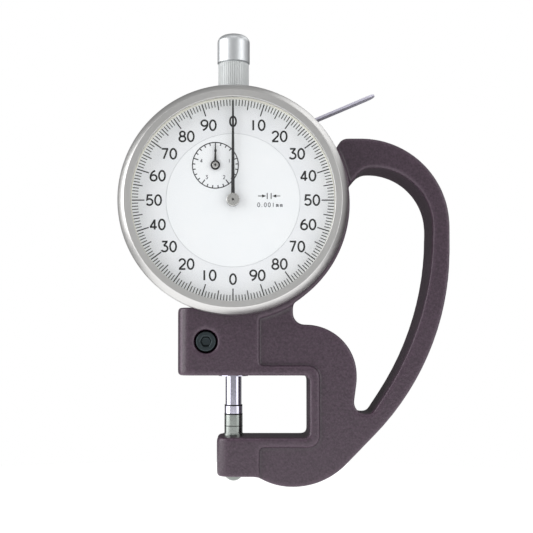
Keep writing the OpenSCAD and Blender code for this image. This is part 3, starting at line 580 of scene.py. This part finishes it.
# Outer scale, with the inner ends and widths of every tenth, fifth and single line
TICKS = 200
TICK_OUT = 26.85
TICK_IN = {10: 23.5, 5: 24.3, 1: 25.2}
TICK_W = {10: 0.3, 5: 0.26, 1: 0.22}
NUMERALS = 20
NUMERAL_R = 21.0
NUMERAL_H = 2.76
NUMERAL_STROKE = 0.47
NUMERAL_STRETCH = 1.12


def scale_print():
    ticks = bmesh.new()
    for k in range(TICKS):
        rank = 10 if k % 10 == 0 else 5 if k % 5 == 0 else 1
        spoke(ticks, (0, 0), TURN * k / TICKS, TICK_IN[rank], TICK_OUT, TICK_W[rank])
    print_piece("scale_ticks", ticks, "bezel", TICK_INK)
    numerals = bmesh.new()
    for k in range(NUMERALS):
        a = TURN * k / NUMERALS
        spot = (NUMERAL_R * math.sin(a), NUMERAL_R * math.cos(a))
        write(numerals, str(k % 10 * 10), spot, NUMERAL_H, NUMERAL_STROKE, stretch=NUMERAL_STRETCH)
    print_piece("scale_numerals", numerals, "bezel", HAND_BLACK)


# Small scale of the turn counter
COUNTER_R = 6.1
COUNTER_LINE = 0.26
COUNTER_TICKS = 25
COUNTER_TICK_W = 0.27
COUNTER_TICK_LONG = 1.35
COUNTER_TICK_SHORT = 0.75
COUNTER_TICK_IN = 0.08
COUNTER_NUMBERS = 5
COUNTER_NUMBER_R = 3.9
COUNTER_NUMBER_H = 0.95
COUNTER_NUMBER_STROKE = 0.17


def counter_print():
    lines = bmesh.new()
    ribbon(lines, ellipse(COUNTER_X, COUNTER_Z, COUNTER_R, COUNTER_R, 96), COUNTER_LINE, True)
    for k in range(COUNTER_TICKS):
        inner = COUNTER_R - (COUNTER_TICK_LONG if k % 5 == 0 else COUNTER_TICK_SHORT)
        outer = COUNTER_R - COUNTER_TICK_IN
        spoke(lines, (COUNTER_X, COUNTER_Z), TURN * k / COUNTER_TICKS, inner, outer, COUNTER_TICK_W)
    print_piece("counter_scale", lines, "frame", TICK_INK)
    numbers = bmesh.new()
    for k in range(COUNTER_NUMBERS):
        a = TURN * k / COUNTER_NUMBERS
        spot = (COUNTER_X + COUNTER_NUMBER_R * math.sin(a), COUNTER_Z + COUNTER_NUMBER_R * math.cos(a))
        write(numbers, str(k), spot, COUNTER_NUMBER_H, COUNTER_NUMBER_STROKE)
    print_piece("counter_numbers", numbers, "frame", PALE_INK)


# Graduation mark, with distances to either side of its middle
MARK_X = 9.6
MARK_Z = 1.1
LINE_X = 0.52
LINE_HALF_H = 0.8
LINE_W = 0.22
SHAFT_NEAR = 1.7
SHAFT_FAR = 2.95
SHAFT_W = 0.2
HEAD_TIP = 0.8
HEAD_TAIL = 1.9
HEAD_HALF_H = 0.42
HEAD_ROWS = 6
VALUE_X = 0.2
VALUE_Z = -2.35
VALUE_H = 1.12
VALUE_STROKE = 0.18
VALUE_GAP = 0.34


def graduation_mark():
    """Two arrows that point at a pair of lines, with the value of one division below"""
    bm = bmesh.new()
    for side in (-1, 1):
        line_x = MARK_X + side * LINE_X
        ribbon(bm, [(line_x, MARK_Z - LINE_HALF_H), (line_x, MARK_Z + LINE_HALF_H)], LINE_W)
        ribbon(bm, [(MARK_X + side * SHAFT_FAR, MARK_Z), (MARK_X + side * SHAFT_NEAR, MARK_Z)], SHAFT_W)
        tip = Vector((MARK_X + side * HEAD_TIP, MARK_Z))
        tail = Vector((MARK_X + side * HEAD_TAIL, MARK_Z))
        row_w = (HEAD_TAIL - HEAD_TIP) / HEAD_ROWS
        for row in range(HEAD_ROWS):
            share = (row + 0.5) / HEAD_ROWS
            spot = tip.lerp(tail, share)
            half_h = HEAD_HALF_H * share
            ribbon(bm, [(spot.x, spot.y - half_h), (spot.x, spot.y + half_h)], row_w)
    print_piece("graduation_mark", bm, "frame", HAND_BLACK)
    text = bmesh.new()
    write(text, "0.001mm", (MARK_X + VALUE_X, MARK_Z + VALUE_Z), VALUE_H, VALUE_STROKE, VALUE_GAP)
    print_piece("graduation_value", text, "frame", PALE_INK)


# Pale line in the gap between the turning scale and the fixed dial
SEAM_IN = 0.01
SEAM_OUT = 0.14
SEAM_SUNK = 0.03
SEAM_DEEP = 0.5


def dial_seam():
    inner, outer = INNER_R + SEAM_IN, INNER_R + SEAM_OUT
    back, front = DIAL_FACE - SEAM_DEEP, DIAL_FACE - SEAM_SUNK
    profile = [(inner, back), (outer, back), (outer, front), (inner, front)]
    mesh = finish_mesh("dial_seam", revolve(profile, 192, "Y"))
    add_piece("dial_seam", mesh, (0, 0, DIAL_Z), "frame", SEAM)


# Hubs of the hands, with heights in front of the arbor's end
HUB_T = 0.3
HUB_EDGE = 0.12
HUB_EDGE_RISE = 0.1
HUB_RISE = 0.13
DIMPLE_RIM_R = 0.34
DIMPLE_R = 0.3
DIMPLE_RISE = 0.02
DOT_R = 0.28
DOT_RISE = 0.05
COUNTER_HUB_R = 0.8


def hub_cap(name, x, z, front, r, body):
    """Low turned button with a bevelled rim and a dark dimple in its centre"""
    at = (x, 0, DIAL_Z + z)
    back = front - HUB_T
    dimple = front + DIMPLE_RISE
    dot_front = front + DOT_RISE
    button = [(0, back), (r, back), (r, front), (r - HUB_EDGE, front + HUB_EDGE_RISE),
              (DIMPLE_RIM_R, front + HUB_RISE), (DIMPLE_R, dimple), (0, dimple)]
    add_piece(name, finish_mesh(name, revolve(button, 48, "Y")), at, body, HUB_STEEL)
    dot = [(0, dimple), (DOT_R, dimple), (DOT_R, dot_front), (0, dot_front)]
    dot_name = name + "_dot"
    add_piece(dot_name, finish_mesh(dot_name, revolve(dot, 24, "Y")), at, body, HAND_BLACK)


def hand_hubs():
    main_front = -box_mm("centre_arbor")[0].y
    hub_cap("main_hub", 0, 0, main_front, radius_mm("main_hand"), "centre_shaft")
    hub_cap("counter_hub", COUNTER_X, COUNTER_Z, -counter_low.y, COUNTER_HUB_R, "counter_shaft")


# Painted shadow lines of the measuring contact: black rings standing for the shade in the joints between
# its pieces
RING_OUT = 0.02
RING_IN = 0.3
RING_H = 0.34
HOLDER_L = 2.6
ANVIL_RING_Z = -0.14
ANVIL_RING_H = 0.2


def joint_line(name, r, z, height, body):
    outer, inner = r + RING_OUT, r - RING_IN
    low, high = z - height / 2, z + height / 2
    profile = [(inner, low), (outer, low), (outer, high), (inner, high)]
    mesh = finish_mesh(name, revolve(profile, 64, "Z"))
    # black ring as painted shadow in the joint's groove
    add_piece(name, mesh, ORIGIN, body, HAND_BLACK)


def contact_lines():
    tip_top = box_mm("contact_tip")[1].z
    face_r = radius_mm("contact_tip")
    holder_ring_z = tip_top + HOLDER_L - RING_H / 2
    joint_line("holder_shadow_line", radius_mm("contact_holder"), holder_ring_z, RING_H, "spindle")
    joint_line("tip_shadow_line", face_r, tip_top, RING_H, "spindle")
    joint_line("face_shadow_line", face_r, ANVIL_RING_Z, ANVIL_RING_H, "frame")


# Return spring: the model's coil, as a piece with a mesh of its own
def live_spring():
    mesh = nodes["return_spring"].data.copy()
    mesh.materials.clear()
    coil = add_piece("spring_coil", mesh, ORIGIN, "frame", SPRING, ["return_spring"])
    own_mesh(coil)


# Floor, which glows so that it is as white as the backdrop
FLOOR_R = 190
FLOOR_Y = -135
FLOOR_DROP = 0.4
FLOOR_GLOW = 1.1


def floor():
    z = cad_box[0][2] / MM - FLOOR_DROP
    bm = bmesh.new()
    edge = ellipse(0, FLOOR_Y, FLOOR_R, FLOOR_R, 96)
    bm.faces.new([bm.verts.new(Vector((x, y, z)) * MM) for x, y in edge])
    mesh = bpy.data.meshes.new("floor")
    bm.to_mesh(mesh)
    bm.free()
    material = new_material("pale_floor", (0.3, 0.3, 0.3), 0, 0.9, Specular_IOR_Level=0,
                            Emission_Color=(1, 1, 1, 1), Emission_Strength=FLOOR_GLOW)
    mesh.materials.append(material)
    piece = bpy.data.objects.new("floor", mesh)
    scene.collection.objects.link(piece)


# Soft lights: place, width, height and brightness
LIGHT_AIM = (10, 0, 50)
SOFTBOXES = {
    "left_box": ((-1160, -310, 300), 1400, 1000, 2.7),
    "right_box": ((1020, -640, 300), 800, 1000, 1.5),
    "top_box": ((0, -600, 1000), 900, 700, 0.6),
    "back_box": ((840, 540, 1030), 800, 800, 1.08),
}


def softbox(name, place, width, height, radiance):
    light = bpy.data.lights.new(name, "AREA")
    light.shape = "RECTANGLE"
    light.size = width * MM
    light.size_y = height * MM
    light.energy = radiance * math.pi * light.size * light.size_y
    lamp = bpy.data.objects.new(name, light)
    lamp.location = Vector(place) * MM
    lamp.rotation_euler = (Vector(place) - Vector(LIGHT_AIM)).to_track_quat("Z", "Y").to_euler()
    lamp.visible_camera = False
    scene.collection.objects.link(lamp)


# Light from all round: how far back, from 0 in front to 1 behind, and its brightness
AMBIENT = [(0.3, 0.46), (0.65, 0.46), (0.9, 0.1)]
BACKDROP = (1, 1, 1, 1)


def ambient_light(tree):
    """Background whose brightness goes with the direction's Y, brought from -1 to 1 into 0 to 1"""
    ambient = tree.nodes.new("ShaderNodeBackground")
    direction = tree.nodes.new("ShaderNodeTexCoord")
    parts = tree.nodes.new("ShaderNodeSeparateXYZ")
    depth = tree.nodes.new("ShaderNodeMath")
    depth.operation = "MULTIPLY_ADD"
    depth.inputs[1].default_value = 0.5
    depth.inputs[2].default_value = 0.5
    shades = tree.nodes.new("ShaderNodeValToRGB")
    shades.color_ramp.elements.new(0.5)
    for stop, (place, shade) in zip(shades.color_ramp.elements, AMBIENT):
        stop.position = place
        stop.color = (shade, shade, shade, 1)
    tree.links.new(direction.outputs["Generated"], parts.inputs["Vector"])
    tree.links.new(parts.outputs["Y"], depth.inputs[0])
    tree.links.new(depth.outputs["Value"], shades.inputs["Fac"])
    tree.links.new(shades.outputs["Color"], ambient.inputs["Color"])
    return ambient


def studio():
    """White backdrop for the camera, and a soft light from all round for the gauge"""
    world = bpy.data.worlds.new("studio")
    scene.world = world
    world.use_nodes = True
    tree = world.node_tree
    tree.nodes.clear()
    rays = tree.nodes.new("ShaderNodeLightPath")
    ambient = ambient_light(tree)
    backdrop = tree.nodes.new("ShaderNodeBackground")
    backdrop.inputs["Color"].default_value = BACKDROP
    mix = tree.nodes.new("ShaderNodeMixShader")
    out = tree.nodes.new("ShaderNodeOutputWorld")
    tree.links.new(rays.outputs["Is Camera Ray"], mix.inputs["Fac"])
    tree.links.new(ambient.outputs["Background"], mix.inputs[1])
    tree.links.new(backdrop.outputs["Background"], mix.inputs[2])
    tree.links.new(mix.outputs["Shader"], out.inputs["Surface"])
    for name, (place, width, height, radiance) in SOFTBOXES.items():
        softbox(name, place, width, height, radiance)
    scene.view_settings.view_transform = "Standard"


# Camera: place, upward tilt in degrees, lens and shift, with the clip in metres
CAMERA_AT = (3.23, -279.7, 22.3)
CAMERA_TILT = 1.4035
CAMERA_LENS = 68.07
CAMERA_SENSOR = 36
CAMERA_SHIFT = (0.04, 0.1)
CAMERA_CLIP = (0.01, 20)


def camera():
    data = bpy.data.cameras.new("camera")
    data.lens = CAMERA_LENS
    data.sensor_width = CAMERA_SENSOR
    data.shift_x, data.shift_y = CAMERA_SHIFT
    data.clip_start, data.clip_end = CAMERA_CLIP
    eye = bpy.data.objects.new("camera", data)
    eye.location = Vector(CAMERA_AT) * MM
    eye.rotation_euler = (math.radians(90 + CAMERA_TILT), 0, 0)
    scene.collection.objects.link(eye)
    scene.camera = eye


dress_nodes()
lever_and_screw()
frame_casting()
bezel_ring()
knurled_sleeve()
scale_print()
counter_print()
graduation_mark()
dial_seam()
hand_hubs()
contact_lines()
live_spring()
floor()
studio()
camera()

bpy.context.view_layer.update()
